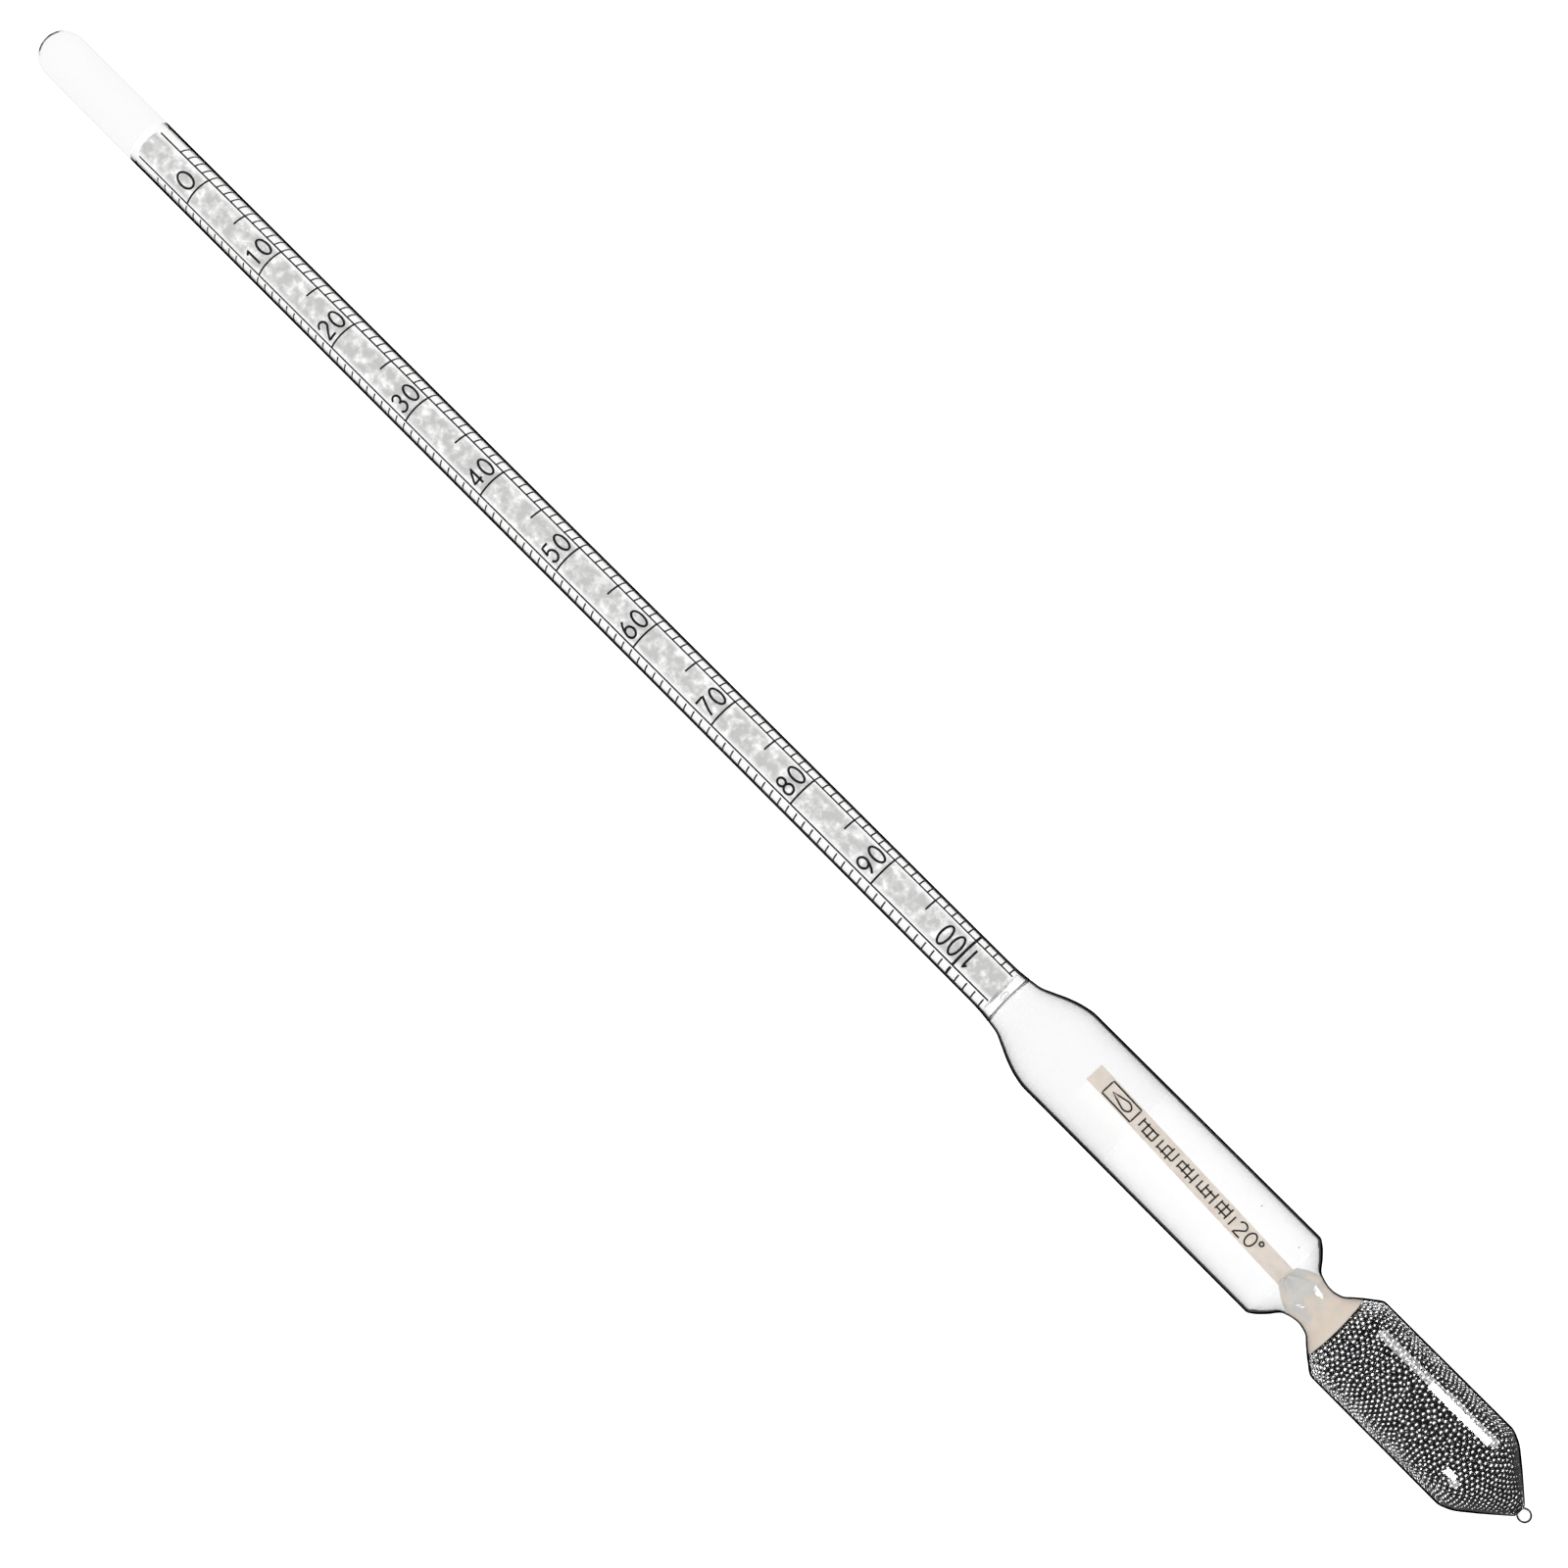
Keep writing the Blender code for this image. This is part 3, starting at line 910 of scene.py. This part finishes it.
def make_plug(material):
    """A lump of resin that fills the neck, torn and uneven where it meets the air."""
    bore = inset(bulb_outline(), BULB_WALL + 0.04)
    rim = PLUG_RIM
    rings = []
    for i in range(34):
        height = rim - (rim - PLUG_BOTTOM) * i / 33
        rings.append((radius_at(bore, height), height))
    mound = []
    for k in range(1, 14):
        t = k / 14
        mound.append((rings[0][0] * t, rim + (PLUG_PEAK - rim) * (1 - t ** 2.6)))
    top = [(0.0, PLUG_PEAK), *mound]
    foot = [*[(rings[-1][0] * k / 8, PLUG_BOTTOM) for k in range(7, 0, -1)], (0.0, PLUG_BOTTOM)]

    def torn(radius, height, angle):
        if height <= rim:
            return radius, height
        growth = min(1.0, (height - rim) / 1.2)
        lift = (0.45 * math.sin(angle + 2.6) + 0.35 * math.sin(2 * angle + 0.7)
                + 0.22 * math.sin(5 * angle + 1.9) + 0.12 * math.sin(9 * angle))
        return radius * (1 - 0.05 * growth * math.sin(7 * angle)), height + lift * growth * 0.9

    return turned("neck_plug_resin", [*top, *rings, *foot], material, segments=96, wobble=torn)


plug = make_plug(plug_material())
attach(plug, "root")
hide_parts("neck_plug")


# The shot -----------------------------------------------------------------------------------

def ballast_bore():
    """The inside of the glass, with a hair of room for the pellets."""
    return inset(bulb_outline(), BULB_WALL + 0.02)


def settle(cover, depth, seed):
    """Places for one layer of pellets at a depth under the glass, pushed apart round by round."""
    bore = ballast_bore()
    heights = np.array([p[1] for p in reversed(bore)])
    radii = np.array([p[0] for p in reversed(bore)])
    slopes = np.gradient(radii, heights)
    low, high = SHOT_BOTTOM, SHOT_TOP - PELLET_RADIUS
    draw = np.random.default_rng(seed)

    def limit(z):
        slope = np.interp(z, heights, slopes)
        room = np.interp(z, heights, radii) - (PELLET_RADIUS + depth) * np.sqrt(1 + slope ** 2)
        return np.maximum(room, 0.0)

    grid = np.linspace(low, high, 400)
    area = limit(grid) * np.sqrt(1 + np.interp(grid, heights, slopes) ** 2) + 0.05
    area_total = math.tau * float(np.sum(area)) * (grid[1] - grid[0])
    number = int(area_total * cover / (math.pi * PELLET_RADIUS ** 2))
    z = np.interp(draw.random(number), np.cumsum(area) / np.sum(area), grid)
    a = draw.random(number) * math.tau
    sink = np.abs(draw.normal(0.0, 0.05, number))
    p = np.stack([limit(z) * np.cos(a), limit(z) * np.sin(a), z], axis=1)
    reach = 2 * PELLET_RADIUS
    for _ in range(PUSH_ROUNDS):
        order = np.argsort(p[:, 2])
        p, sink = p[order], sink[order]
        push = np.zeros_like(p)
        touched = np.zeros(len(p))
        for k in range(1, NEIGHBOURS):
            d = p[k:] - p[:-k]
            near = d[:, 2] < reach
            if not near.any():
                break
            length = np.sqrt((d ** 2).sum(1)) + 1e-9
            over = np.where(near & (length < reach), (reach - length) / 2, 0.0)
            step = d / length[:, None] * over[:, None]
            push[k:] += step
            push[:-k] -= step
            touched[k:] += over > 0
            touched[:-k] += over > 0
        p += push / np.maximum(1.0, touched * 0.4)[:, None]
        p[:, 2] = np.clip(p[:, 2], low, high)
        r = np.hypot(p[:, 0], p[:, 1]) + 1e-9
        fitted = np.maximum(limit(p[:, 2]) - sink, 0.0)
        p[:, 0] *= fitted / r
        p[:, 1] *= fitted / r
    return p


def pack_shot():
    """An outer layer against the glass and a second one that shows through its gaps."""
    outer = settle(SHOT_COVER, depth=0.0, seed=11)
    return np.concatenate([outer, settle(INNER_COVER, depth=LAYER_DEPTH, seed=12)])


def pellet_shape():
    """The points and faces of one pellet."""
    bm = bmesh.new()
    bmesh.ops.create_icosphere(bm, subdivisions=2, radius=PELLET_RADIUS)
    verts = np.array([v.co[:] for v in bm.verts])
    faces = np.array([[v.index for v in f.verts] for f in bm.faces])
    bm.free()
    return verts, faces


def make_shot(places, material):
    """The pellets, in two pieces: the lower and the upper half of the bed."""
    verts, faces = pellet_shape()
    draw = np.random.default_rng(5)
    made = []
    middle = float(np.median(places[:, 2]))
    for name, chosen in (("shot_lower", places[places[:, 2] < middle]),
                         ("shot_upper", places[places[:, 2] >= middle])):
        size = 1 + draw.uniform(-0.05, 0.03, len(chosen))
        all_verts = (verts[None] * size[:, None, None] + chosen[:, None]).reshape(-1, 3)
        shift = (np.arange(len(chosen)) * len(verts))[:, None, None]
        all_faces = (faces[None] + shift).reshape(-1, 3).tolist()
        made.append(add_piece(name, all_verts, all_faces, material))
    return made


def make_shot_core(material):
    """The dark middle of the bed, behind the pellets that show: a near-black body painted where the hidden
    pellets lie in shade.
    """
    bore = inset(bulb_outline(), BULB_WALL + CORE_DEPTH)
    heights = [CORE_TOP - (CORE_TOP - CORE_BOTTOM) * i / 40 for i in range(41)]
    side = [(max(radius_at(bore, h), 0.05), h) for h in heights]
    outline = [(0.0, CORE_TOP), *side, (0.0, heights[-1])]
    return turned("shot_core", outline, material, segments=48)


shot_metal = shot_material()
shot_pieces = make_shot(pack_shot(), shot_metal)
core = make_shot_core(dark_material())
for piece in (*shot_pieces, core):
    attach(piece, "root")
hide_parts("shot_bed")


def make_glue():
    """A set bead of clear glue under the paper's lower edge, at the back."""
    # Painted shade: the glue's colour darkens towards rims seen edge on.
    mat = glass_material("clear_glue", [(0.0, 0.98), (0.8, 0.9), (1.0, 0.6)])
    lo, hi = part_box("scale_glue")
    bm = bmesh.new()
    bmesh.ops.create_icosphere(bm, subdivisions=4, radius=0.5)
    size = hi - lo
    centre = (hi + lo) / 2
    for v in bm.verts:
        v.co = Vector((v.co.x * size.x, v.co.y * size.y, v.co.z * size.z)) * 0.98
        v.co *= 1 - 0.06 * math.sin(9 * v.co.x / MM)
        v.co += centre
    return from_bmesh("scale_glue_dab", bm, mat)


glue = make_glue()
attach(glue, "root")
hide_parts("scale_glue")


# Studio -------------------------------------------------------------------------------------

def make_floor():
    """A wide white floor under the tip, dark to mirrored rays like the room."""
    mat, tree, shader = new_material("studio_floor")
    shader.inputs["Roughness"].default_value = 0.9
    shader.inputs["Specular IOR Level"].default_value = 0.0
    shader.inputs["Base Color"].default_value = (0.9, 0.9, 0.9, 1.0)
    shader.inputs["Emission Color"].default_value = (1.0, 1.0, 1.0, 1.0)
    shader.inputs["Emission Strength"].default_value = 0.27
    dark = node(tree, "ShaderNodeBsdfDiffuse")
    dark.inputs["Color"].default_value = (0.12, 0.12, 0.12, 1.0)
    mix_shaders(tree, mirrored_ray(tree), shader, dark)
    bm = bmesh.new()
    bmesh.ops.create_circle(bm, cap_ends=True, radius=FLOOR_RADIUS, segments=64)
    floor = from_bmesh("studio_floor", bm, mat, smooth=False)
    floor.location.z = TIP_Z - FLOOR_DROP


def make_light(name, receivers, angle, height, distance, size, size_z, radiance):
    """A soft box beside the object at an angle round it, facing the axis, for some pieces only."""
    data = bpy.data.lights.new(name, "AREA")
    data.shape = "RECTANGLE"
    data.size = size * MM
    data.size_y = size_z * MM
    data.energy = radiance * math.pi * size * size_z * MM * MM
    obj = bpy.data.objects.new(name, data)
    a = math.radians(angle)
    place = Vector((math.sin(a), -math.cos(a), 0.0)) * distance * MM
    obj.location = (place.x, place.y, TIP_Z + height * MM)
    obj.rotation_euler = (-place).to_track_quat("-Z", "Y").to_euler()
    obj.visible_camera = False
    obj.visible_transmission = False
    obj.visible_diffuse = False
    bpy.context.scene.collection.objects.link(obj)
    group = bpy.data.collections.new(name + "_lit")
    for piece in receivers:
        group.objects.link(piece)
    obj.light_linking.receiver_collection = group
    return obj


def make_world():
    """White light from all round, a whiter backdrop behind, and a dark room for mirrored rays."""
    world = bpy.data.worlds.new("studio")
    world.use_nodes = True
    tree = world.node_tree
    background = tree.nodes["Background"]
    background.inputs["Strength"].default_value = 1.0
    where = node(tree, "ShaderNodeTexCoord")
    split = node(tree, "ShaderNodeSeparateXYZ")
    tree.links.new(where.outputs["Generated"], split.inputs[0])
    soft = node(tree, "ShaderNodeMapRange")
    soft.inputs["From Min"].default_value = -1.0
    soft.inputs["To Min"].default_value = 1.2
    soft.inputs["To Max"].default_value = 1.34
    tree.links.new(split.outputs["Z"], soft.inputs["Value"])
    path = node(tree, "ShaderNodeLightPath")
    direct = calculate(tree, "MAXIMUM", path.outputs["Is Camera Ray"], path.outputs["Is Transmission Ray"])
    backdrop = blend_colors(tree, direct, soft.outputs["Result"], (1.4, 1.4, 1.4, 1.0))
    room = blend_colors(tree, mirrored_ray(tree), backdrop, (0.1, 0.1, 0.1, 1.0))
    tree.links.new(room, background.inputs["Color"])
    bpy.context.scene.world = world


def make_camera():
    """Looks at the middle of the view from the reader's side, a little from below."""
    tilt = math.radians(VIEW_TILT)
    data = bpy.data.cameras.new("camera")
    data.sensor_width = VIEW_SENSOR
    data.lens = VIEW_LENS
    data.clip_start = 0.01
    data.clip_end = 100.0
    obj = bpy.data.objects.new("camera", data)
    look = Vector((0.0, math.cos(tilt), math.sin(tilt)))
    along = Vector((0.0, -math.sin(tilt), math.cos(tilt)))
    side = Vector((1.0, 0.0, 0.0))
    right = (side - along).normalized()
    up = (side + along).normalized()
    target = Vector((VIEW_ASIDE * MM, 0.0, TIP_Z + VIEW_HEIGHT * MM))
    turn = Matrix((right, up, -look)).transposed()
    obj.matrix_world = Matrix.Translation(target - look * VIEW_DISTANCE * MM) @ turn.to_4x4()
    bpy.context.scene.collection.objects.link(obj)
    bpy.context.scene.camera = obj


make_floor()
make_world()
make_camera()
make_light("streak_right", [bulbs],
           angle=55.0, height=7.4, distance=56.0, size=19.0, size_z=12.6, radiance=30.0)
make_light("streak_right_upper", [bulbs],
           angle=55.5, height=20.2, distance=56.0, size=13.0, size_z=13.0, radiance=9.0)
make_light("streak_left", [bulbs],
           angle=-48.0, height=2.6, distance=56.0, size=16.0, size_z=3.6, radiance=30.0)
for side, angle, radiance in (("front", -4.0, 15.0), ("back", 180.0, 12.0)):
    make_light("shot_" + side, shot_pieces,
               angle=angle, height=62.0, distance=130.0, size=330.0, size_z=250.0, radiance=radiance)

scene = bpy.context.scene
scene.view_settings.view_transform = "Standard"
scene.cycles.caustics_reflective = False
scene.cycles.caustics_refractive = False
scene.cycles.max_bounces = 24
scene.cycles.transmission_bounces = 16
scene.cycles.transparent_max_bounces = 24
